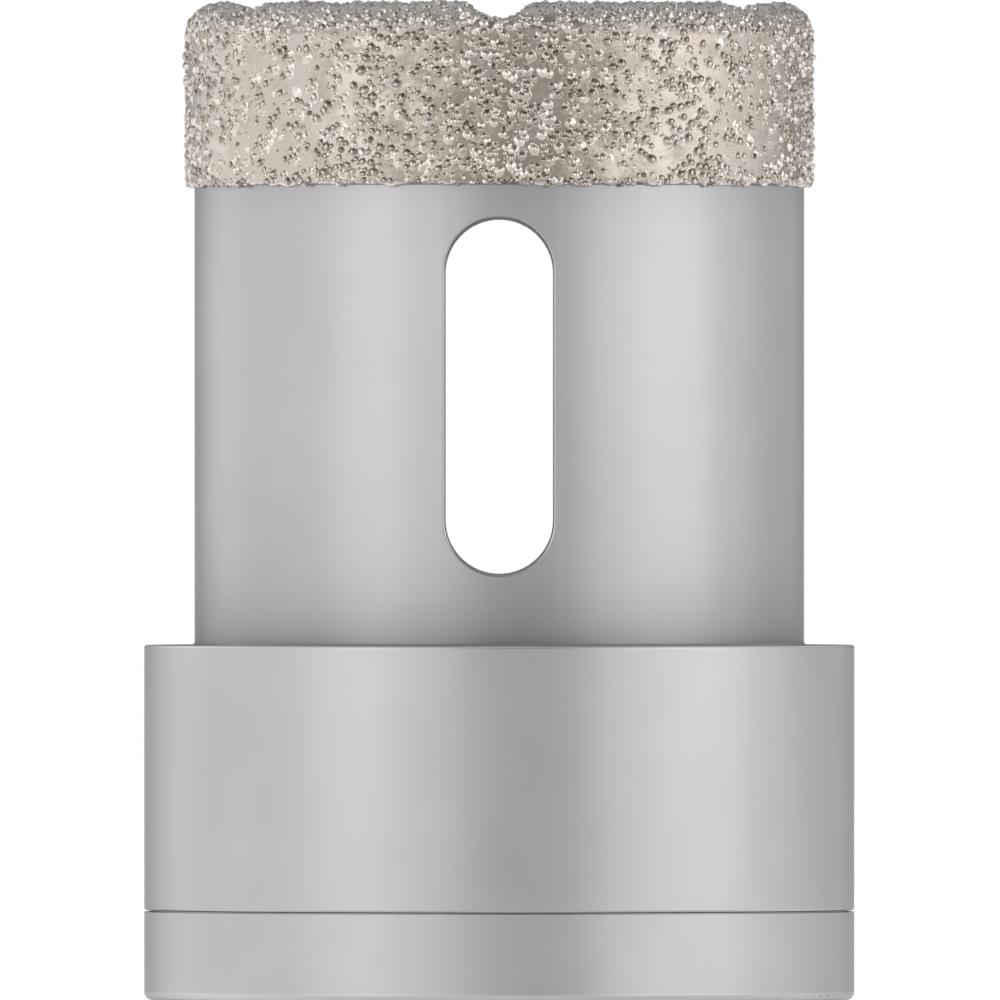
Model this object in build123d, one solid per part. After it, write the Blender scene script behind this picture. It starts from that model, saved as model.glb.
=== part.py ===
from build123d import *
import math
import os

# A diamond core bit for dry drilling in tile with an angle grinder.
# Millimetres. The origin is the centre of the seat face, and +Z runs up to the cutting crown.

# Mounting plate: the steel disc that sits on the grinder's flange and is gripped from inside.
body_diameter = 39.5
plate_height = 5.0
lip_thickness = 2.0
seat_bore_diameter = 22.23
lobe_count = 4
lobe_width = 7.7
lobe_span = 31.0
lobe_corner_radius = 1.5
lead_in_chamfer = 0.35
spigot_wall = 1.4
spigot_height = 1.2
plate_edge_radius = 0.45
groove_height = 0.08
groove_depth = 0.5

# Hub: a turned cup that closes over the gripping jaws and carries the tube in a socket.
hub_height = 14.75
hub_wall = 2.05
web_thickness = 2.5
socket_depth = 3.0
knock_out_diameter = 16.0
knock_out_chamfer = 0.5
cavity_corner_radius = 1.2
hub_edge_radius = 0.15

# Tube: drawn steel with its cutting end rounded over, two long slots and a notched end.
tube_diameter = 33.9
tube_wall = 2.5
tube_reach = 35.25
slot_count = 2
slot_width = 6.0
slot_length = 19.8
slot_centre_height = 13.82
slot_edge_radius = 0.12

# Rim: the nickel braze that wraps the tube's end and holds the diamond.
braze_thickness = 0.4
rim_height = 10.15
inner_skirt_height = 9.0
rim_edge_radius = 0.12
notch_count = 6
notch_radius = 1.9
notch_depth = 0.9

# Seam: the thin bead of braze at the foot of the tube.
seam_leg = 0.12

# Places that follow from the sizes above.
body_radius = body_diameter / 2
hub_bore_radius = body_radius - hub_wall
recess_radius = hub_bore_radius - spigot_wall
tube_radius = tube_diameter / 2
tube_bore_radius = tube_radius - tube_wall
hub_top = plate_height + hub_height
socket_floor = hub_top - socket_depth
cavity_top = socket_floor - web_thickness
tube_end = hub_top + tube_reach
crown_top = tube_end + braze_thickness
rim_foot = crown_top - rim_height
rim_radius = tube_radius + braze_thickness
rim_bore_radius = tube_bore_radius - braze_thickness
slot_centre = hub_top + slot_centre_height
notch_axis_height = crown_top - notch_depth + notch_radius


def turned(*corners):
    """A solid turned about +Z from the corners of its half section, given as radius and height."""
    outline = [(r, 0, z) for r, z in corners]
    return revolve(make_face(Polyline(*outline, close=True)), Axis.Z)


def edges_at(solid, radius, height):
    """The round edges of a turned solid at one radius and height."""
    return [
        edge
        for edge in solid.edges().filter_by(GeomType.CIRCLE)
        if abs(edge.radius - radius) < 1e-4 and abs(edge.arc_center.Z - height) < 1e-4
    ]


def cross_opening():
    """The outline of the seat: a round bore with lobes that let the jaws through."""
    outline = Circle(seat_bore_diameter / 2)
    reach = Circle(lobe_span / 2)
    for turn in range(lobe_count // 2):
        bar = Rectangle(lobe_span, lobe_width) & reach
        corners = [v for v in bar.vertices() if abs(v.X) > seat_bore_diameter / 2]
        outline += Rot(0, 0, turn * 360 / lobe_count) * fillet(corners, lobe_corner_radius)
    return outline


def mounting_plate():
    """The seat disc: a thin lip with the cross opening, a grip recess above it and a spigot for the hub."""
    spigot_top = plate_height + spigot_height
    groove_floor = plate_height - groove_height
    land = body_radius - groove_depth
    disc = turned(
        (0, 0),
        (body_radius, 0),
        (body_radius, groove_floor),
        (land, groove_floor),
        (land, plate_height),
        (hub_bore_radius, plate_height),
        (hub_bore_radius, spigot_top),
        (recess_radius, spigot_top),
        (recess_radius, lip_thickness),
        (0, lip_thickness),
    )
    disc = fillet(edges_at(disc, body_radius, 0), plate_edge_radius)
    disc -= extrude(cross_opening(), lip_thickness)
    mouth = disc.faces().sort_by(Axis.Z)[0].inner_wires()[0]
    return chamfer(mouth.edges(), lead_in_chamfer)


def hub():
    """The cup: a socket for the tube on top, a web with a knock-out hole, and a cavity for the jaws."""
    hole = knock_out_diameter / 2
    cup = turned(
        (body_radius, plate_height),
        (body_radius, hub_top),
        (tube_radius, hub_top),
        (tube_radius, socket_floor),
        (hole, socket_floor),
        (hole, cavity_top),
        (hub_bore_radius, cavity_top),
        (hub_bore_radius, plate_height),
    )
    cup = fillet(edges_at(cup, body_radius, plate_height), hub_edge_radius)
    cup = fillet(edges_at(cup, body_radius, hub_top), hub_edge_radius)
    cup = fillet(edges_at(cup, hub_bore_radius, cavity_top), cavity_corner_radius)
    rims = edges_at(cup, hole, cavity_top) + edges_at(cup, hole, socket_floor)
    return chamfer(rims, knock_out_chamfer)


def rounded_sleeve(outer_radius, inner_radius, foot, top):
    """A sleeve whose top edge is rounded right over, as the tube's end and the rim's crown are."""
    nose = (outer_radius - inner_radius) / 2
    shoulder = top - nose
    walls = Polyline(
        (inner_radius, 0, shoulder),
        (inner_radius, 0, foot),
        (outer_radius, 0, foot),
        (outer_radius, 0, shoulder),
    )
    crown = ThreePointArc(
        (outer_radius, 0, shoulder),
        (outer_radius - nose, 0, top),
        (inner_radius, 0, shoulder),
    )
    return revolve(make_face([walls, crown]), Axis.Z)


def notch_cutters(radius):
    """Round bars, laid out radially, that cut the shallow chip notches in the crown."""
    bar = Cylinder(radius, body_radius, rotation=(90, 0, 0), align=(Align.CENTER, Align.CENTER, Align.MIN))
    places = [Rot(0, 0, turn * 360 / notch_count) for turn in range(notch_count)]
    return [place * Pos(0, 0, notch_axis_height) * bar for place in places]


def slot_cutters():
    """Long round-ended bars that cut the slots right through one wall each."""
    bar = extrude(SlotOverall(slot_length, slot_width, rotation=90), body_radius)
    upright = Pos(0, 0, slot_centre) * Rot(90, 0, 0) * bar
    return [Rot(0, 0, turn * 360 / slot_count) * upright for turn in range(slot_count)]


def plain_tube():
    """The tube's steel before its slots are cut."""
    tube = rounded_sleeve(tube_radius, tube_bore_radius, socket_floor, tube_end)
    return tube - notch_cutters(notch_radius + braze_thickness)


def core_tube():
    """The tube with its slots, whose edges are eased inside and out."""
    tube = plain_tube() - slot_cutters()
    rims = [edge for edge in tube.edges() if slot_edge(edge)]
    return fillet(rims, slot_edge_radius)


def slot_edge(edge):
    """Whether an edge runs round a slot on the tube's outside or inside."""
    middle = edge.position_at(0.5)
    low = slot_centre - slot_length / 2 - slot_edge_radius
    high = slot_centre + slot_length / 2 + slot_edge_radius
    radius = math.hypot(middle.X, middle.Y)
    beside_slot = abs(middle.X) < slot_width / 2 + slot_edge_radius
    on_wall = min(abs(radius - tube_radius), abs(radius - tube_bore_radius)) < 1e-3
    return beside_slot and on_wall and low < middle.Z < high


def diamond_rim():
    """The braze layer: an even coat over the tube's end, inside and out, that follows the notches."""
    coat = rounded_sleeve(rim_radius, rim_bore_radius, rim_foot, crown_top)
    coat = fillet(edges_at(coat, rim_radius, rim_foot), rim_edge_radius)
    bare_height = rim_height - inner_skirt_height
    bare_bore = Cylinder(tube_bore_radius, bare_height, align=(Align.CENTER, Align.CENTER, Align.MIN))
    coat -= Pos(0, 0, rim_foot) * bare_bore
    coat -= notch_cutters(notch_radius)
    return coat - plain_tube()


def braze_seam():
    """The bead of braze in the corner where the tube stands in the hub."""
    return turned(
        (tube_radius, hub_top),
        (tube_radius + seam_leg, hub_top),
        (tube_radius, hub_top + seam_leg),
    )


nodes = {
    "mounting_plate": mounting_plate(),
    "hub": hub(),
    "core_tube": core_tube(),
    "diamond_rim": diamond_rim(),
    "braze_seam": braze_seam(),
}

os.makedirs("parts", exist_ok=True)
for name, solid in nodes.items():
    export_step(solid, f"parts/{name}.step")
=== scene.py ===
import math

import bmesh
import bpy
import numpy as np
from mathutils import Matrix, Vector, noise
from mathutils.bvhtree import BVHTree
from mathutils.geometry import area_tri


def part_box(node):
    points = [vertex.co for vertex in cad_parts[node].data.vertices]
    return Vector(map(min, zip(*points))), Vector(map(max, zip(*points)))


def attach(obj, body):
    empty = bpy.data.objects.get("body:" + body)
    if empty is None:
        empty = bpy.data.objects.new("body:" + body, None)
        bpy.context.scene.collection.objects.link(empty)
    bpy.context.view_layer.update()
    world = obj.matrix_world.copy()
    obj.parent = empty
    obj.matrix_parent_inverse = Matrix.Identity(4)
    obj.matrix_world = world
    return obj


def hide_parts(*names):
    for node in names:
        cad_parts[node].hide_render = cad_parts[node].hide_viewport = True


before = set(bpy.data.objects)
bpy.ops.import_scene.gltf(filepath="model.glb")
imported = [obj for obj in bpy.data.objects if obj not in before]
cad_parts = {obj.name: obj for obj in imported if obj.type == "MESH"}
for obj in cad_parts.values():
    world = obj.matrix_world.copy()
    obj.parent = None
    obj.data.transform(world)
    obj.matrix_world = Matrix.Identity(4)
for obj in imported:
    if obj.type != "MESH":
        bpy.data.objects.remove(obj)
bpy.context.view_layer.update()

# The steel body.
# A turned mounting plate and hub, and a drawn tube brazed into the hub. All are blasted to an even satin
# outside, over which the lathe's fine rings only just show. The steel is painted darker beside each joint as
# painted shade, its edges are painted lighter as a painted highlight, and the bore stays dull.
MM = 0.001
STEEL_COLOUR = (0.555, 0.562, 0.568, 1.0)
STEEL_CLOUDED = (0.530, 0.537, 0.543, 1.0)
# The colour that the steel is painted towards beside a joint: painted shade.
STEEL_PAINTED_SHADE = (0.10, 0.10, 0.10, 1.0)
# The colour of the painted highlight along the rounded edges.
STEEL_PAINTED_HIGHLIGHT = (0.86, 0.87, 0.88, 1.0)
STEEL_EDGE = (0.55, 0.55, 0.55, 1.0)
STEEL_ROUGHNESS = 0.30
# How far in from the outside an edge's painted highlight lies, and the share of its reach at full strength.
HIGHLIGHT_DEPTH = 0.5 * MM
HIGHLIGHT_CORE = 0.4
BORE_COLOUR = (0.72, 0.72, 0.71, 1.0)
BORE_DULLNESS = 0.8
BORE_ROUGHER = 0.20
CLOUD_SIZE = 6 * MM
RING_PITCH = 0.16 * MM
RING_LENGTH = 9 * MM
RING_DEPTH = 0.0006 * MM
CLOUD_ROUGHENING = 0.04
RING_ROUGHENING = 0.06
SEAM_REACH = math.radians(4)
# Noise runs from 0 to 1 about its middle, and most of it lies in this span.
NOISE_MIDDLE = 0.5
NOISE_SPAN = (0.3, 0.7)
# A Mix node has two inputs and an output for each kind of data. These are a vector's and a colour's.
VECTOR_A, VECTOR_B, VECTOR_OUT = 4, 5, 1
COLOUR_A, COLOUR_B, COLOUR_OUT = 6, 7, 2


class Signal:
    """One output of a shader node. Python's operators on it add Math nodes."""

    def __init__(self, tree, socket):
        self.tree = tree
        self.socket = socket

    def __add__(self, other):
        return maths(self.tree, "ADD", self, other)

    def __sub__(self, other):
        return maths(self.tree, "SUBTRACT", self, other)

    def __rsub__(self, other):
        return maths(self.tree, "SUBTRACT", other, self)

    def __mul__(self, other):
        return maths(self.tree, "MULTIPLY", self, other)

    def __truediv__(self, other):
        return maths(self.tree, "DIVIDE", self, other)

    def __pow__(self, other):
        return maths(self.tree, "POWER", self, other)

    def __abs__(self):
        return maths(self.tree, "ABSOLUTE", self)

    __radd__ = __add__
    __rmul__ = __mul__


def add_node(tree, kind, settings, sockets, output=0):
    """Adds a shader node, its settings first and then each socket's value or link, and gives its output."""
    node = tree.nodes.new(kind)
    for name, value in settings.items():
        setattr(node, name, value)
    for key, value in sockets.items():
        if isinstance(value, Signal):
            tree.links.new(value.socket, node.inputs[key])
        else:
            node.inputs[key].default_value = value
    return Signal(tree, node.outputs[output]) if node.outputs else None


def maths(tree, operation, *inputs):
    return add_node(tree, "ShaderNodeMath", {"operation": operation}, dict(enumerate(inputs)))


def new_tree(owner):
    """An empty node tree on a material or a world."""
    owner.use_nodes = True
    owner.node_tree.nodes.clear()
    return owner.node_tree


def object_place(tree):
    return add_node(tree, "ShaderNodeTexCoord", {}, {}, "Object")


def split(tree, vector):
    """The three parts of a vector."""
    return [add_node(tree, "ShaderNodeSeparateXYZ", {}, {"Vector": vector}, axis) for axis in "XYZ"]


def noise_at(tree, place, size, detail=2.0):
    """Cloudy noise between 0 and 1 whose lumps are about one size across, given for X, Y and Z or for all."""
    sizes = size if isinstance(size, tuple) else (size, size, size)
    scaled = add_node(tree, "ShaderNodeMapping", {}, {"Vector": place, "Scale": [1 / s for s in sizes]})
    return add_node(tree, "ShaderNodeTexNoise", {}, {"Vector": scaled, "Scale": 1.0, "Detail": detail})


def blend_colours(tree, share, low, high):
    sockets = {"Factor": share, COLOUR_A: low, COLOUR_B: high}
    return add_node(tree, "ShaderNodeMix", {"data_type": "RGBA"}, sockets, COLOUR_OUT)


def ease(tree, value, low, high):
    """0 below low and 1 above high, with a smooth rise between them."""
    sockets = {"Value": value, "From Min": low, "From Max": high}
    return add_node(tree, "ShaderNodeMapRange", {"interpolation_type": "SMOOTHSTEP"}, sockets)


def bumped(tree, height, depth, **sockets):
    sockets.update(Height=height, Distance=depth, Strength=1.0)
    return add_node(tree, "ShaderNodeBump", {}, sockets, "Normal")


def metal(tree, colour, roughness, normal, edge, metallic=1.0):
    """The metal surface that every finish here ends in. The edge colour is for where it turns away."""
    sockets = {
        "Base Color": colour,
        "Roughness": roughness,
        "Metallic": metallic,
        "Specular Tint": edge,
        "Normal": normal,
    }
    surface = add_node(tree, "ShaderNodeBsdfPrincipled", {}, sockets)
    add_node(tree, "ShaderNodeOutputMaterial", {}, {"Surface": surface})


def seamless_normal(tree, place):
    """The surface's own normal, but true to the axis near +X, where the round CAD faces have a faint seam."""
    x, y, _ = split(tree, place)
    radius = (x * x + y * y) ** 0.5
    normal = add_node(tree, "ShaderNodeNewGeometry", {}, {}, "Normal")
    across, _, rise = split(tree, normal)
    level = (1 - rise * rise) ** 0.5 * maths(tree, "SIGN", across)
    parts = {"X": x / radius * level, "Y": y / radius * level, "Z": rise}
    true = add_node(tree, "ShaderNodeCombineXYZ", {}, parts)
    beside = ease(tree, x / radius, math.cos(2 * SEAM_REACH), math.cos(SEAM_REACH))
    sockets = {"Factor": beside, VECTOR_A: normal, VECTOR_B: true}
    return add_node(tree, "ShaderNodeMix", {"data_type": "VECTOR"}, sockets, VECTOR_OUT)


def satin_steel(name, skin=0.0, joints=(), edges=()):
    """The steel's finish: painted shade towards each joint, a painted highlight along each edge, and dull
    inside the skin.
    """
    material = bpy.data.materials.new(name)
    tree = new_tree(material)
    place = object_place(tree)
    x, y, up = split(tree, place)
    radius = (x * x + y * y) ** 0.5
    clouds = noise_at(tree, place, CLOUD_SIZE)
    rings = noise_at(tree, place, (RING_LENGTH, RING_LENGTH, RING_PITCH), detail=1.0)
    colour = blend_colours(tree, ease(tree, clouds, *NOISE_SPAN), STEEL_CLOUDED, STEEL_COLOUR)
    # Painted shade: the colour darkens towards each joint.
    for height, side, reach, strength in joints:
        away = (up - height) * side
        nearness = 1 - away / (away * away + reach**2) ** 0.5
        colour = blend_colours(tree, nearness * strength, colour, STEEL_PAINTED_SHADE)
    outermost = ease(tree, radius, BODY_RADIUS - HIGHLIGHT_DEPTH, BODY_RADIUS)
    # Painted highlight: the colour lightens along each edge, at the outside only.
    for height, reach, strength in edges:
        highlight = 1 - ease(tree, abs(up - height), HIGHLIGHT_CORE * reach, reach)
        colour = blend_colours(tree, highlight * outermost * strength, colour, STEEL_PAINTED_HIGHLIGHT)
    inside = 1 - ease(tree, radius, skin - SKIN_DEPTH, skin)
    colour = blend_colours(tree, inside, colour, BORE_COLOUR)
    roughness = STEEL_ROUGHNESS + (rings - NOISE_MIDDLE) * RING_ROUGHENING
    roughness = roughness + (clouds - NOISE_MIDDLE) * CLOUD_ROUGHENING + inside * BORE_ROUGHER
    metallic = 1 - inside * BORE_DULLNESS
    normal = bumped(tree, rings, RING_DEPTH, Normal=seamless_normal(tree, place))
    metal(tree, colour, roughness, normal, STEEL_EDGE, metallic)
    return material


BODY_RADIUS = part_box("hub")[1].x
HUB_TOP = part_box("hub")[1].z
TUBE_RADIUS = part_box("core_tube")[1].x
TUBE_WALL = 2.5 * MM
COAT_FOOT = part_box("diamond_rim")[0].z
SKIN_DEPTH = 0.2 * MM
# Painted shade by a joint: its height, whether the shade lies above or below it, how far it reaches, its
# strength.
FOOT_PAINTED_SHADE = (HUB_TOP, 1, 4.0 * MM, 0.56)
SEAM_PAINTED_SHADE = (HUB_TOP, 1, 4.0 * MM, 0.30)
RIM_PAINTED_SHADE = (COAT_FOOT, -1, 1.6 * MM, 0.14)
# A painted highlight along an edge: the edge's height, how far the highlight reaches, and how bright.
HUB_EDGE_HIGHLIGHT = (HUB_TOP, 0.12 * MM, 1.0)
PLATE_EDGE_HIGHLIGHT = (0.32 * MM, 0.24 * MM, 0.35)
finishes = {
    "mounting_plate": satin_steel("plate_steel", edges=(PLATE_EDGE_HIGHLIGHT,)),
    "hub": satin_steel("hub_steel", edges=(HUB_EDGE_HIGHLIGHT,)),
    "core_tube": satin_steel("tube_steel", skin=TUBE_RADIUS - SKIN_DEPTH, joints=(FOOT_PAINTED_SHADE, RIM_PAINTED_SHADE)),
    "braze_seam": satin_steel("seam_braze", joints=(SEAM_PAINTED_SHADE,)),
}
for name, finish in finishes.items():
    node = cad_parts[name]
    node.data.materials.clear()
    node.data.materials.append(finish)

# The braze coat.
# Nickel braze that was melted over the tube's end, outside, over the crown and inside. It froze in soft
# waves, sagged round the notches and ended in a slightly ragged lip.
COAT_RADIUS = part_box("diamond_rim")[1].x
COAT_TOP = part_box("diamond_rim")[1].z
COAT_THICKNESS = COAT_RADIUS - TUBE_RADIUS
BORE_RADIUS = TUBE_RADIUS - TUBE_WALL - COAT_THICKNESS
INNER_REACH = 9.0 * MM
INNER_FOOT = COAT_TOP - INNER_REACH
NOSE_RADIUS = (COAT_RADIUS - BORE_RADIUS) / 2
NOSE_MIDDLE = (COAT_RADIUS + BORE_RADIUS) / 2
SHOULDER = COAT_TOP - NOSE_RADIUS
LIP_RADIUS = 0.24 * MM
LIP_TOP = COAT_FOOT + 2 * LIP_RADIUS
NOTCHES = 6
NOTCH_RADIUS = 1.9 * MM
NOTCH_DEPTH = 1.05 * MM
COAT_STEPS = 360
WALL_STEP = 0.3 * MM
NOSE_STEPS = 18
LIP_STEPS = 4
ROUNDED_REACH = 1.3 * NOTCH_RADIUS
ROUNDING_PASSES = 2
LIP_WAVE = 0.18 * MM
LIP_WAVE_START = Vector((0, 0, 9))
WAVE_SIZE = 1.6 * MM
WAVE_HEIGHT = 0.05 * MM
RIPPLE_SIZE = 0.6 * MM
RIPPLE_HEIGHT = 0.026 * MM
LUMP_SIZE = 0.9 * MM
LUMP_HEIGHT = 0.12 * MM
CROWN_SUNK = 0.10 * MM


def arc_points(centre, radius, start, end, steps):
    """Points in the half section along an arc, with angles in degrees from the outward radius."""
    turns = [math.radians(start + (end - start) * i / steps) for i in range(steps + 1)]
    return [(centre[0] + radius * math.cos(t), centre[1] + radius * math.sin(t)) for t in turns]


def wall_points(radius, low, high):
    """Points up a straight wall, both ends left out."""
    steps = round(abs(high - low) / WALL_STEP)
    return [(radius, low + (high - low) * i / steps) for i in range(1, steps)]


def coat_section():
    """The coat's closed half section: up the outside, over the nose and down the inside, and then back
    along the tube, where it doesn't show."""
    lip_out_centre = (COAT_RADIUS - LIP_RADIUS, COAT_FOOT + LIP_RADIUS)
    lip_in_centre = (BORE_RADIUS + LIP_RADIUS, INNER_FOOT + LIP_RADIUS)
    lip_out = arc_points(lip_out_centre, LIP_RADIUS, -90, 0, LIP_STEPS)
    lip_in = arc_points(lip_in_centre, LIP_RADIUS, 180, 270, LIP_STEPS)
    nose = arc_points((NOSE_MIDDLE, SHOULDER), NOSE_RADIUS, 0, 180, NOSE_STEPS)
    tube_nose = arc_points((NOSE_MIDDLE, SHOULDER), NOSE_RADIUS - COAT_THICKNESS, 180, 0, NOSE_STEPS)
    outside = wall_points(COAT_RADIUS, COAT_FOOT + LIP_RADIUS, SHOULDER)
    inside = wall_points(BORE_RADIUS, SHOULDER, INNER_FOOT + LIP_RADIUS)
    against_tube = [(BORE_RADIUS + COAT_THICKNESS, INNER_FOOT), *tube_nose, (TUBE_RADIUS, COAT_FOOT)]
    return lip_out + outside + nose + inside + lip_in, against_tube


def notch_offset(point):
    """How far a point lies sideways from the middle of the nearest notch. The first notch is in front."""
    pitch = 2 * math.pi / NOTCHES
    turn = math.atan2(point.x, -point.y)
    return math.hypot(point.x, point.y) * math.sin(turn - pitch * round(turn / pitch))


def notch_floor(point, radius):
    """The height of the notch's round floor at a point, or None beside the notch."""
    sideways = notch_offset(point)
    if abs(sideways) >= radius:
        return None
    axis_height = COAT_TOP - NOTCH_DEPTH + NOTCH_RADIUS
    return axis_height - math.sqrt(radius**2 - sideways**2)


def outward(point):
    """The direction straight out of the coat at a point on its surface."""
    radius = math.hypot(point.x, point.y)
    across = radius - NOSE_MIDDLE
    up = max(point.z - SHOULDER, 0)
    if up == 0:
        across = math.copysign(1, across)
    flat = Vector((point.x, point.y, 0)) / radius
    return (flat * across + Vector((0, 0, up))).normalized()


def waviness(point):
    """How far the braze stands proud of an even coat at a point. It is lumpier up on the crown."""
    wave = noise.noise(point / WAVE_SIZE) * WAVE_HEIGHT
    ripple = noise.noise(point / RIPPLE_SIZE) * RIPPLE_HEIGHT
    crown_share = max(point.z - SHOULDER, 0) / NOSE_RADIUS
    lump = noise.noise(point / LUMP_SIZE) * LUMP_HEIGHT - CROWN_SUNK
    return wave + ripple + lump * crown_share


# How thickly the grit lies by the turn from the front in degrees. The crown is covered all over.
COVER_ROUND = (
    (-180, 0.75), (-120, 0.80), (-80, 0.66), (-50, 0.44), (-26, 0.72), (-10, 1.00), (14, 1.00), (28, 0.64),
    (54, 0.50), (74, 1.05), (100, 1.05), (180, 0.75),
)
CLUMP_SIZE = 1.3 * MM
CLUMPING = 0.40


def cover_at(point):
    """How thickly the grit lies at a point on the coat, from 0 for bare to about 1."""
    if point.z > SHOULDER:
        return 1.0
    turns, levels = zip(*COVER_ROUND)
    degrees = math.degrees(math.atan2(point.x, -point.y))
    return float(np.interp(degrees, turns, levels)) + noise.noise(point / CLUMP_SIZE) * CLUMPING


def add_attribute(mesh, name, values):
    layer = mesh.attributes.new(name, "FLOAT", "POINT")
    layer.data.foreach_set("value", np.asarray(values, dtype=np.float32))


def coat_mesh():
    """The coat: its half section turned about the axis, with the notches pressed in and the braze wavy."""
    bm = bmesh.new()
    hidden = bm.verts.layers.int.new("hidden")
    shown, against_tube = coat_section()
    corners = [bm.verts.new((r, 0, z)) for r, z in shown + against_tube]
    sides = [bm.edges.new(pair) for pair in zip(corners, corners[1:] + corners[:1])]
    for corner in corners[len(shown):]:
        corner[hidden] = 1
    bmesh.ops.spin(
        bm,
        geom=corners + sides,
        cent=(0, 0, 0),
        axis=(0, 0, 1),
        angle=2 * math.pi,
        steps=COAT_STEPS,
        use_merge=True,
    )
    for vert in bm.verts:
        radius = NOTCH_RADIUS + COAT_THICKNESS * vert[hidden]
        floor = notch_floor(vert.co, radius)
        if floor is not None:
            vert.co.z = min(vert.co.z, floor)
    seen = [v for v in bm.verts if not v[hidden]]
    rounded = [v for v in seen if v.co.z > SHOULDER and abs(notch_offset(v.co)) < ROUNDED_REACH]
    for _ in range(ROUNDING_PASSES):
        bmesh.ops.smooth_vert(
            bm,
            verts=rounded,
            factor=0.5,
            use_axis_x=True,
            use_axis_y=True,
            use_axis_z=True,
        )
    for vert in seen:
        vert.co += outward(vert.co) * waviness(vert.co)
        if vert.co.z < LIP_TOP:
            vert.co.z += noise.noise(vert.co / RIPPLE_SIZE + LIP_WAVE_START) * LIP_WAVE
    bmesh.ops.recalc_face_normals(bm, faces=bm.faces)
    for face in bm.faces:
        face.smooth = True
    mesh = bpy.data.meshes.new("nickel_coat")
    bm.to_mesh(mesh)
    bm.free()
    add_attribute(mesh, "cover", [cover_at(v.co) for v in mesh.vertices])
    return mesh


BRAZE_WARM = (0.64, 0.568, 0.498, 1.0)
BRAZE_COOL = (0.63, 0.573, 0.520, 1.0)
# Painted shade among the grains, where the grit lies thick.
BRAZE_CROWD_SHADE = (0.39, 0.335, 0.283, 1.0)
BRAZE_CROWN = (0.68, 0.650, 0.620, 1.0)
# Painted light on the lip's underside, below the middle of its rounding, which lifts its shade.
BRAZE_FOOT_PAINTED_LIGHT = (0.92, 0.860, 0.800, 1.0)
BRAZE_EDGE = (0.64, 0.66, 0.70, 1.0)
BRAZE_ROUGHNESS = 0.26
HUE_SIZE = 4.0 * MM
# The heights of the crust and its pimples are in millimetres, as the bump takes them.
CRUST_SIZE = 0.28 * MM
CRUST_HEIGHT = 0.028
CRUST_ROUGHER = 0.06
CRUST_RAGGEDNESS = 0.5
CRUSTED_COVER = (0.45, 1.15)
PIMPLE_SIZE = 0.12 * MM
PIMPLE_HEIGHT = 0.006
PIMPLE_ROUGHENING = 0.08


def attribute(tree, name):
    return add_node(tree, "ShaderNodeAttribute", {"attribute_name": name}, {}, "Fac")


def on_crown(tree, place):
    """0 on the walls, rising to 1 at the top of the crown."""
    return ease(tree, split(tree, place)[2], SHOULDER, COAT_TOP)


def braze_colour(tree, place, crowd_shade):
    """The braze's colour: bright where it is clean, painted darker where the grit is crowded as painted shade
    among the grains, painted lighter on the lip's underside as painted light, and greyer on the crown.
    """
    hue = noise_at(tree, place, HUE_SIZE, detail=1.0)
    colour = blend_colours(tree, ease(tree, hue, *NOISE_SPAN), BRAZE_COOL, BRAZE_WARM)
    # Painted shade where the grit is crowded.
    colour = blend_colours(tree, crowd_shade, colour, BRAZE_CROWD_SHADE)
    # Painted light on the lip's underside.
    above_foot = ease(tree, split(tree, place)[2], COAT_FOOT, COAT_FOOT + LIP_RADIUS)
    colour = blend_colours(tree, above_foot, BRAZE_FOOT_PAINTED_LIGHT, colour)
    return blend_colours(tree, on_crown(tree, place), colour, BRAZE_CROWN)


def nickel_braze():
    """The coat's finish, which is crusted and carries painted shade where the grit lies thick."""
    material = bpy.data.materials.new("nickel_braze")
    tree = new_tree(material)
    place = object_place(tree)
    crust = noise_at(tree, place, CRUST_SIZE)
    pimples = noise_at(tree, place, PIMPLE_SIZE, detail=3.0)
    cover = attribute(tree, "cover") + (crust - NOISE_MIDDLE) * CRUST_RAGGEDNESS
    crowded = ease(tree, cover, *CRUSTED_COVER)
    roughness = BRAZE_ROUGHNESS + crowded * CRUST_ROUGHER + (pimples - NOISE_MIDDLE) * PIMPLE_ROUGHENING
    height = crust * crowded * CRUST_HEIGHT + pimples * PIMPLE_HEIGHT
    metal(tree, braze_colour(tree, place, crowded), roughness, bumped(tree, height, MM), BRAZE_EDGE)
    return material


def new_piece(name, mesh, material):
    """An object of the bit: it rides on the one body and takes its finish from a slot."""
    piece = bpy.data.objects.new(name, mesh)
    bpy.context.scene.collection.objects.link(piece)
    mesh.materials.append(material)
    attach(piece, "root")
    return piece


coat = new_piece("nickel_coat", coat_mesh(), nickel_braze())
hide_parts("diamond_rim")

# The diamond grit.
# Blocky crystals about 0.4 mm wide, and chips of them, scattered over the braze before it melted. It wetted
# each one, crept up its sides and left a thin bright skin over most of them, with bare ground between.
GRIT_SEED = 11
FORMS_PER_GRADE = 24
# Half sections of a grain and of a chip from the top down, as radius and height over the coat.
GRAIN_PROFILE = ((0.0, 1.0), (0.50, 0.88), (0.86, 0.50), (1.12, 0.13), (1.58, -0.02))
CHIP_PROFILE = ((0.0, 1.0), (0.65, 0.70), (1.08, 0.20), (1.60, -0.02))
FLAT_COUNT = 4
FLAT_REACH = (0.66, 0.92)
FLAT_RISE = (0.2, 1.3)
FLATTENED_ABOVE = 0.15
SWELL = (0.03, 0.25)
UNEVENNESS = 0.05
POLE_MERGED = 1e-4
GRAIN_LEAN = 0.15
SKIRT_HEIGHT = 0.15
SKIRT_SUNK = 0.008 * MM
TRIES_PER_GRAIN = 8
CHAINED_SHARE = 0.35
CHAIN_GAP = (0.85, 1.05)
CLOSENESS = 0.86
LIP_GRAINS = 210
LIP_BAND = (0.12 * MM, 0.34 * MM)
GRAIN_FOOT = 0.05 * MM
FACING_OUT = 0.3
ZONES = ("outer", "crown", "inner")
rng = np.random.default_rng(GRIT_SEED)


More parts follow.
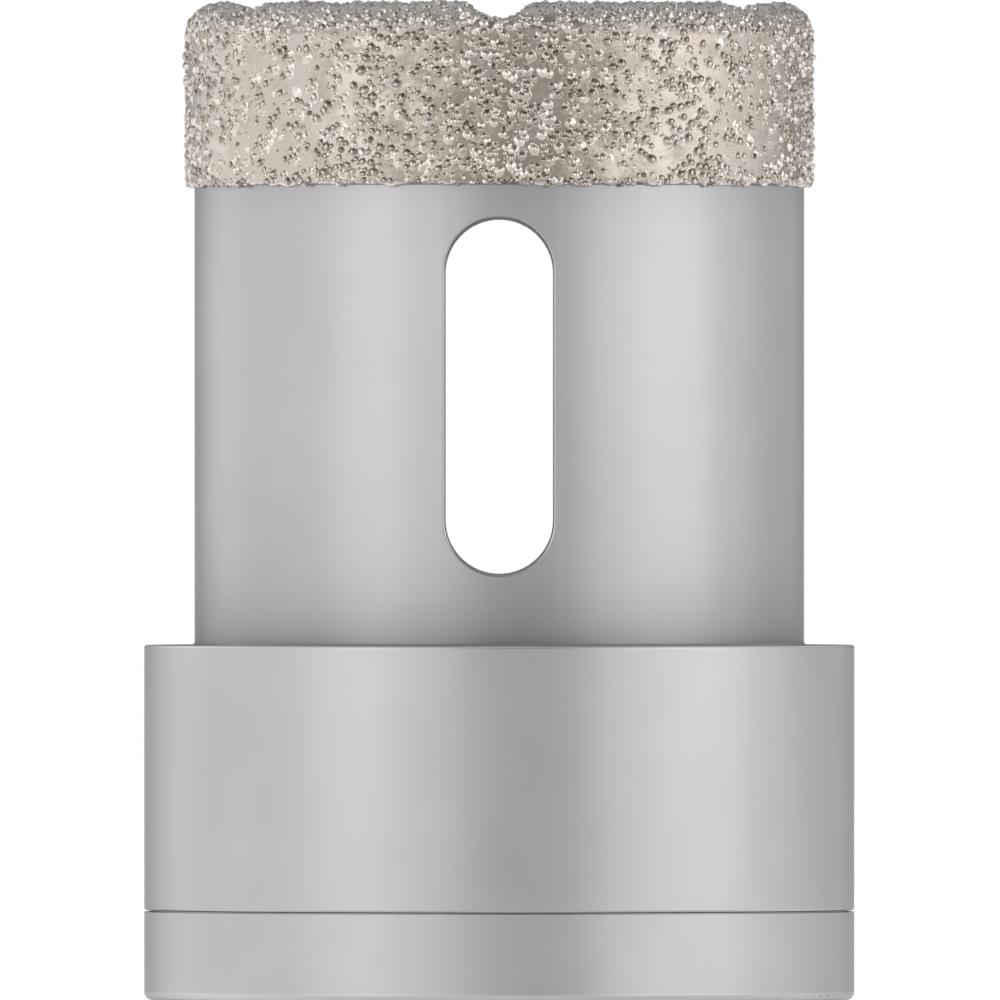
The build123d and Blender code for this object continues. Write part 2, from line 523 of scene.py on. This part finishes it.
def flat_plane():
    """A flat that a crystal's face leaves in its skin: a direction, and how far out it lies."""
    turn = rng.uniform(0, 2 * math.pi)
    rise = rng.uniform(*FLAT_RISE)
    level = math.cos(rise)
    direction = Vector((level * math.cos(turn), level * math.sin(turn), math.sin(rise)))
    return direction, rng.uniform(*FLAT_REACH)


def grain_form(profile, sides):
    """One crystal under its skin of braze, about a unit in radius and height, with a flared foot."""
    bm = bmesh.new()
    corners = [bm.verts.new((r, 0, h)) for r, h in profile]
    slopes = [bm.edges.new(pair) for pair in zip(corners, corners[1:])]
    bmesh.ops.spin(
        bm,
        geom=corners + slopes,
        cent=(0, 0, 0),
        axis=(0, 0, 1),
        angle=2 * math.pi,
        steps=sides,
        use_merge=True,
    )
    bmesh.ops.remove_doubles(bm, verts=bm.verts, dist=POLE_MERGED)
    foot = [e for e in bm.edges if e.is_boundary]
    bmesh.ops.edgeloop_fill(bm, edges=foot)
    for edge in foot:
        edge.smooth = False
    swell = rng.uniform(*SWELL)
    swell_turn = rng.uniform(0, math.pi)
    planes = [flat_plane() for _ in range(FLAT_COUNT)]
    for vert in bm.verts:
        turn = math.atan2(vert.co.y, vert.co.x)
        stretch = 1 + swell * math.cos(2 * (turn - swell_turn))
        vert.co.x *= stretch
        vert.co.y *= stretch
        if vert.co.z > FLATTENED_ABOVE:
            vert.co += Vector(rng.normal(scale=UNEVENNESS, size=3))
            for normal, reach in planes:
                vert.co -= normal * max(0, vert.co.dot(normal) - reach)
    bmesh.ops.recalc_face_normals(bm, faces=bm.faces)
    for face in bm.faces:
        face.smooth = True
    mesh = bpy.data.meshes.new("grain_form")
    bm.to_mesh(mesh)
    bm.free()
    return mesh


def shape_of(form):
    """A form with its points. Each grain's own points are written over the form's before it is copied."""
    return form, np.array([v.co for v in form.vertices])


class Grade:
    """One size of grit: its shapes, its radius, its rise as a share of that, and how many lie on a square
    millimetre of each zone."""

    def __init__(self, name, profile, sides, radius, rise, per_mm2):
        self.name = name
        self.radius = radius
        self.rise = rise
        self.per_mm2 = per_mm2
        self.forms = [shape_of(grain_form(profile, sides)) for _ in range(FORMS_PER_GRADE)]
        self.spots = {zone: [] for zone in ZONES}


grains = Grade(
    "grit",
    GRAIN_PROFILE,
    sides=7,
    radius=(0.13 * MM, 0.26 * MM),
    rise=(0.62, 1.05),
    per_mm2={"outer": 3.2, "crown": 4.4, "inner": 3.0},
)
chips = Grade(
    "chips",
    CHIP_PROFILE,
    sides=6,
    radius=(0.05 * MM, 0.11 * MM),
    rise=(0.60, 1.00),
    per_mm2={"outer": 3.2, "crown": 3.5, "inner": 0.0},
)
CROWN_RISE = 0.85
LARGE_BRIGHTER = 0.2


def zone_of(point):
    """Which part of the rim a point on the coat belongs to."""
    if point.z > SHOULDER:
        return "crown"
    return "outer" if math.hypot(point.x, point.y) > NOSE_MIDDLE else "inner"


def lowest_first(corners):
    """A triangle's corners, wound as they were, from the lowest number on."""
    start = corners.index(min(corners))
    return corners[start:] + corners[:start]


class Ground:
    """The coat's surface, with the spots on it that are taken. Its triangles are put in a fixed order,
    because a spin leaves them in another one on each run, and the random draws pick them by number."""

    def __init__(self, mesh):
        mesh.calc_loop_triangles()
        self.points = [v.co.copy() for v in mesh.vertices]
        shown = [t.vertices[:] for t in mesh.loop_triangles if self.is_open(t)]
        self.triangles = sorted(lowest_first(corners) for corners in shown)
        self.areas = np.array([area_tri(*self.corners(t)) for t in self.triangles])
        self.tree = BVHTree.FromPolygons(self.points, self.triangles)
        self.cell = 2 * grains.radius[1]
        self.taken = {}
        self.spots = []

    def is_open(self, triangle):
        """Whether a triangle of the coat is one that shows, and not one against the tube."""
        return triangle.normal.dot(outward(triangle.center)) > FACING_OUT

    def corners(self, triangle):
        return [self.points[i] for i in triangle]

    def zone_areas(self):
        areas = dict.fromkeys(ZONES, 0.0)
        for triangle, area in zip(self.triangles, self.areas):
            a, b, c = self.corners(triangle)
            areas[zone_of((a + b + c) / 3)] += area / MM**2
        return areas

    def random_points(self, count):
        """Points spread evenly over the coat, whatever its triangles' sizes."""
        picks = rng.choice(len(self.triangles), size=count, p=self.areas / self.areas.sum())
        for pick in picks:
            a, b, c = self.corners(self.triangles[pick])
            u, v = rng.random(2)
            if u + v > 1:
                u, v = 1 - u, 1 - v
            yield a + (b - a) * u + (c - a) * v

    def beside_another(self, radius):
        """A point just beside a grain that is there already."""
        neighbour, normal, neighbour_radius = self.spots[rng.integers(len(self.spots))]
        sideways = Vector(rng.normal(size=3)).cross(normal).normalized()
        return neighbour + sideways * (neighbour_radius + radius) * rng.uniform(*CHAIN_GAP)

    def key(self, point):
        return tuple(int(c // self.cell) for c in point)

    def is_free(self, point, radius):
        x, y, z = self.key(point)
        for dx in (-1, 0, 1):
            for dy in (-1, 0, 1):
                for dz in (-1, 0, 1):
                    for other, other_radius in self.taken.get((x + dx, y + dy, z + dz), ()):
                        if (other - point).length < CLOSENESS * (radius + other_radius):
                            return False
        return True

    def take(self, point, normal, radius):
        self.taken.setdefault(self.key(point), []).append((point, radius))
        self.spots.append((point, normal, radius))


def plant(ground, grade):
    """Scatters one grade: some at random where the braze is crowded, the others beside a grain there."""
    wanted = {zone: round(area * grade.per_mm2[zone]) for zone, area in ground.zone_areas().items()}
    for point in ground.random_points(TRIES_PER_GRAIN * sum(wanted.values())):
        radius = rng.uniform(*grade.radius)
        if rng.random() < CHAINED_SHARE:
            point = ground.beside_another(radius)
        elif rng.random() > cover_at(point):
            continue
        place, normal, _, _ = ground.tree.find_nearest(point)
        zone = zone_of(place)
        crowded = len(grade.spots[zone]) >= wanted[zone]
        if place.z > COAT_FOOT + GRAIN_FOOT and not crowded and ground.is_free(place, radius):
            ground.take(place, normal, radius)
            grade.spots[zone].append((place, normal, radius))


def plant_lip(ground):
    """A row of smaller grains along the coat's lip, where the braze gathered them as it ran."""
    for _ in range(LIP_GRAINS):
        turn = rng.uniform(0, 2 * math.pi)
        radius = rng.uniform(grains.radius[0], sum(grains.radius) / 2)
        height = COAT_FOOT + rng.uniform(*LIP_BAND)
        target = (COAT_RADIUS * math.cos(turn), COAT_RADIUS * math.sin(turn), height)
        place, normal, _, _ = ground.tree.find_nearest(target)
        if ground.is_free(place, radius):
            ground.take(place, normal, radius)
            grains.spots["outer"].append((place, normal, radius))


def grit_mesh(name, grade, zone, ground):
    """All the grains of one grade and zone as one mesh. Each leans its own way, its skirt on the coat."""
    bm = bmesh.new()
    tones = []
    heights = []
    uppers = []
    for place, normal, radius in grade.spots[zone]:
        form, points = grade.forms[rng.integers(FORMS_PER_GRADE)]
        rise = radius * rng.uniform(*grade.rise) * (CROWN_RISE if zone == "crown" else 1)
        spin = Matrix.Rotation(rng.uniform(0, 2 * math.pi), 3, "Z")
        turn = normal.to_track_quat("Z", "Y").to_matrix() @ spin
        axes = np.array(turn @ Matrix.Diagonal((radius, radius, rise)))
        axes[:, 2] += rng.normal(scale=GRAIN_LEAN, size=3) * rise
        placed = points @ axes.T + np.array(place)
        for i in np.flatnonzero(points[:, 2] < SKIRT_HEIGHT):
            foot, foot_normal, _, _ = ground.tree.find_nearest(placed[i])
            placed[i] = foot + foot_normal * (points[i, 2] * rise - SKIRT_SUNK)
        form.vertices.foreach_set("co", placed.ravel())
        bm.from_mesh(form)
        largeness = (radius - grade.radius[0]) / (grade.radius[1] - grade.radius[0])
        tones.append(np.full(len(points), rng.random() * (1 - LARGE_BRIGHTER * largeness)))
        heights.append(points[:, 2])
        uppers.append((placed[:, 2] - place.z) / radius)
    mesh = bpy.data.meshes.new(name)
    bm.to_mesh(mesh)
    bm.free()
    add_attribute(mesh, "tone", np.concatenate(tones))
    add_attribute(mesh, "height", np.concatenate(heights))
    add_attribute(mesh, "upper", np.concatenate(uppers))
    return mesh


SKIN_BRIGHT = (0.90, 0.830, 0.755, 1.0)
SKIN_DULL = (0.58, 0.505, 0.435, 1.0)
# Painted shade on the grains' upper flanks.
SKIN_PAINTED_SHADE = (0.21, 0.172, 0.140, 1.0)
SKIN_CROWN = (0.71, 0.670, 0.630, 1.0)
BARE_CRYSTAL = (0.21, 0.175, 0.145, 1.0)
SKIN_ROUGHNESS = 0.14
SPECK_SIZE = 0.15 * MM
SPECK_DEPTH = 0.006 * MM
SPECK_ROUGHENING = 0.10
FLANK_HEIGHT = 0.40
FLANK_CORE = 0.1
FLANK_REACH = 0.45
# Where the upper flanks get painted shade and where the skin breaks: by the grain's tone, from 0 to 1, by how
# far up on its side a point lies, and by the height over the coat.
FLANK_SHADE_TONES = (-0.1, 0.8)
FLANK_SHADE_UPPER = (-1.5, 0.5)
# How much less painted shade the flanks get on the crown.
CROWN_LESS_SHADE = 0.5
BROKEN_TONES = (0.86, 0.94)
BROKEN_HEIGHTS = (0.30, 0.60)
BROKEN_RAGGEDNESS = 0.8


def diamond_grit():
    """The skin on the grains, with painted shade on their upper flanks, and broken on some so that the
    crystal shows.
    """
    material = bpy.data.materials.new("diamond_grit")
    tree = new_tree(material)
    place = object_place(tree)
    tone = attribute(tree, "tone")
    height = attribute(tree, "height")
    specks = noise_at(tree, place, SPECK_SIZE)
    flank = 1 - ease(tree, abs(height - FLANK_HEIGHT), FLANK_CORE, FLANK_REACH)
    flank_shade = flank * ease(tree, tone, *FLANK_SHADE_TONES) * ease(tree, attribute(tree, "upper"), *FLANK_SHADE_UPPER)
    ragged_height = height + (specks - NOISE_MIDDLE) * BROKEN_RAGGEDNESS
    broken = ease(tree, tone, *BROKEN_TONES) * ease(tree, ragged_height, *BROKEN_HEIGHTS)
    crown = on_crown(tree, place)
    skin = blend_colours(tree, tone, SKIN_BRIGHT, SKIN_DULL)
    skin = blend_colours(tree, crown, skin, SKIN_CROWN)
    # Painted shade on the flanks, strongest on their upper sides.
    skin = blend_colours(tree, flank_shade * (1 - crown * CROWN_LESS_SHADE), skin, SKIN_PAINTED_SHADE)
    colour = blend_colours(tree, broken, skin, BARE_CRYSTAL)
    roughness = SKIN_ROUGHNESS + (specks - NOISE_MIDDLE) * SPECK_ROUGHENING
    metal(tree, colour, roughness, bumped(tree, specks, SPECK_DEPTH), BRAZE_EDGE)
    return material


ground = Ground(coat.data)
plant_lip(ground)
plant(ground, grains)
plant(ground, chips)
grit = diamond_grit()
for grade in (grains, chips):
    for zone in ZONES:
        if grade.spots[zone]:
            name = f"{zone}_{grade.name}"
            new_piece(name, grit_mesh(name, grade, zone, ground), grit)
    for form, _ in grade.forms:
        bpy.data.meshes.remove(form)

# The studio.
# A white sweep, with soft walls whose brightness changes round the object, a dim ceiling, and one tall soft
# light on the left and one on the right. The camera is level and far off, as for a catalogue picture.
PHOTO_PIXELS = 1000
PIXELS_PER_MM = 17.98
MIDDLE_PIXEL = (499.3, 500.0)
# With a longer lens the other views would stand too far off to show the object.
LENS = 1700.0
SENSOR = 36.0
EYE_HEIGHT = 30.5 * MM
FLOOR_REACH = 1.5
FLOOR_GAP = 0.02 * MM
FLOOR_PAINT = (0.85, 0.85, 0.85, 1.0)
FLOOR_LIFT = 0.6
LEFT_LIGHT = {"turn": -51, "width": 0.55, "radiance": 0.46}
RIGHT_LIGHT = {"turn": 70, "width": 0.66, "radiance": 0.58}
LIGHT_DISTANCE = 1.20
LIGHT_TALL = 1.10
# The cards that stand round the object. Each has its turn from the camera, to the right, half its width, both
# in degrees, and what it adds to the brightness behind it.
WALL_LEVEL = 0.94
WALL_CARDS = (
    (10, 26, -0.44), (46, 18, 0.55), (-31, 22, 0.42), (-132, 22, 0.44), (123, 20, -0.34), (180, 32, -0.58),
)
UPPER_LEVEL = 0.58
UPPER_CARDS = ((8, 65, -0.38),)
FLOOR_LEVEL = 1.0
FLOOR_CARDS = ((8, 75, -0.30),)
CEILING = 0.58
# The rises at which the upper walls and the ceiling begin and are complete, and the blur of the horizon.
UPPER_RISE = (0.30, 0.75)
CEILING_RISE = (0.85, 0.99)
HORIZON = (-0.01, 0.01)


def add_camera():
    view_width = PHOTO_PIXELS / PIXELS_PER_MM * MM
    distance = view_width * LENS / SENSOR
    centre_x = (PHOTO_PIXELS / 2 - MIDDLE_PIXEL[0]) / PIXELS_PER_MM * MM
    target = Vector((centre_x, 0, MIDDLE_PIXEL[1] / PIXELS_PER_MM * MM))
    camera = bpy.data.objects.new("camera", bpy.data.cameras.new("camera"))
    camera.data.lens = LENS
    camera.data.sensor_width = SENSOR
    camera.data.clip_end = 2 * distance
    camera.location = (centre_x, -distance, EYE_HEIGHT)
    camera.rotation_euler = (target - camera.location).to_track_quat("-Z", "Y").to_euler()
    bpy.context.scene.collection.objects.link(camera)
    bpy.context.scene.camera = camera


def add_soft_light(name, turn, width, radiance):
    """A tall soft light that stands on the floor and faces the object. Its turn is from the camera's side."""
    light = bpy.data.lights.new(name, "AREA")
    light.shape = "RECTANGLE"
    light.size = width
    light.size_y = LIGHT_TALL
    light.energy = radiance * math.pi * width * LIGHT_TALL
    lamp = bpy.data.objects.new(name, light)
    angle = math.radians(turn)
    aside = LIGHT_DISTANCE * math.sin(angle)
    ahead = LIGHT_DISTANCE * math.cos(angle)
    lamp.location = (aside, -ahead, LIGHT_TALL / 2)
    lamp.rotation_euler = (math.pi / 2, 0, angle)
    lamp.visible_camera = False
    bpy.context.scene.collection.objects.link(lamp)


def ray_is(tree, *kinds):
    """1 for a ray of any of these kinds."""
    rays = [add_node(tree, "ShaderNodeLightPath", {}, {}, f"Is {kind} Ray") for kind in kinds]
    found = rays[0]
    for ray in rays[1:]:
        found = maths(tree, "MAXIMUM", found, ray)
    return found


def level_round(tree, x, y, level, cards):
    """The brightness seen from the object in one direction, with the cards that stand there."""
    reach = (x * x + y * y) ** 0.5
    for turn, half_width, change in cards:
        angle = math.radians(turn)
        facing = (x * math.sin(angle) - y * math.cos(angle)) / reach
        level = ease(tree, facing, math.cos(math.radians(half_width)), 1.0) * change + level
    return level


def add_floor():
    """A matt white floor that shows pale to the camera and in the metal, with the object's shadow on it."""
    bm = bmesh.new()
    under_object = Matrix.Translation((0, 0, -FLOOR_GAP))
    bmesh.ops.create_grid(bm, x_segments=1, y_segments=1, size=FLOOR_REACH, matrix=under_object)
    mesh = bpy.data.meshes.new("floor")
    bm.to_mesh(mesh)
    bm.free()
    floor = bpy.data.objects.new("floor", mesh)
    bpy.context.scene.collection.objects.link(floor)
    material = bpy.data.materials.new("floor")
    tree = new_tree(material)
    paint = add_node(tree, "ShaderNodeBsdfDiffuse", {}, {"Color": FLOOR_PAINT})
    seen = ray_is(tree, "Camera", "Transmission")
    lift = add_node(tree, "ShaderNodeEmission", {}, {"Strength": seen * FLOOR_LIFT})
    lifted = add_node(tree, "ShaderNodeAddShader", {}, {0: paint, 1: lift})
    x, y, _ = split(tree, object_place(tree))
    level = level_round(tree, x, y, FLOOR_LEVEL, FLOOR_CARDS)
    white = add_node(tree, "ShaderNodeEmission", {}, {"Color": level})
    lit = add_node(tree, "ShaderNodeMixShader", {}, {0: ray_is(tree, "Glossy"), 1: lifted, 2: white})
    behind = add_node(tree, "ShaderNodeNewGeometry", {}, {}, "Backfacing")
    clear = add_node(tree, "ShaderNodeBsdfTransparent", {}, {})
    surface = add_node(tree, "ShaderNodeMixShader", {}, {0: behind, 1: lit, 2: clear})
    add_node(tree, "ShaderNodeOutputMaterial", {}, {"Surface": surface})
    mesh.materials.append(material)


def add_world():
    """White to the camera. To the metal: the pale floor below, the walls all round, and the ceiling above."""
    world = bpy.data.worlds.new("studio")
    bpy.context.scene.world = world
    tree = new_tree(world)
    direction = add_node(tree, "ShaderNodeTexCoord", {}, {}, "Generated")
    x, y, up = split(tree, direction)
    floor = level_round(tree, x, y, FLOOR_LEVEL, FLOOR_CARDS)
    lower = level_round(tree, x, y, WALL_LEVEL, WALL_CARDS)
    upper = level_round(tree, x, y, UPPER_LEVEL, UPPER_CARDS)
    high = ease(tree, up, *UPPER_RISE)
    overhead = ease(tree, up, *CEILING_RISE)
    below = ease(tree, 0 - up, *HORIZON)
    walls = lower * (1 - high) + upper * high
    level = (walls * (1 - overhead) + overhead * CEILING) * (1 - below) + floor * below
    white = ray_is(tree, "Camera", "Transmission")
    strength = level * (1 - white) + white
    background = add_node(tree, "ShaderNodeBackground", {}, {"Color": (1, 1, 1, 1), "Strength": strength})
    add_node(tree, "ShaderNodeOutputWorld", {}, {"Surface": background})


add_camera()
add_soft_light("left_light", **LEFT_LIGHT)
add_soft_light("right_light", **RIGHT_LIGHT)
add_floor()
add_world()
bpy.context.scene.view_settings.view_transform = "Standard"
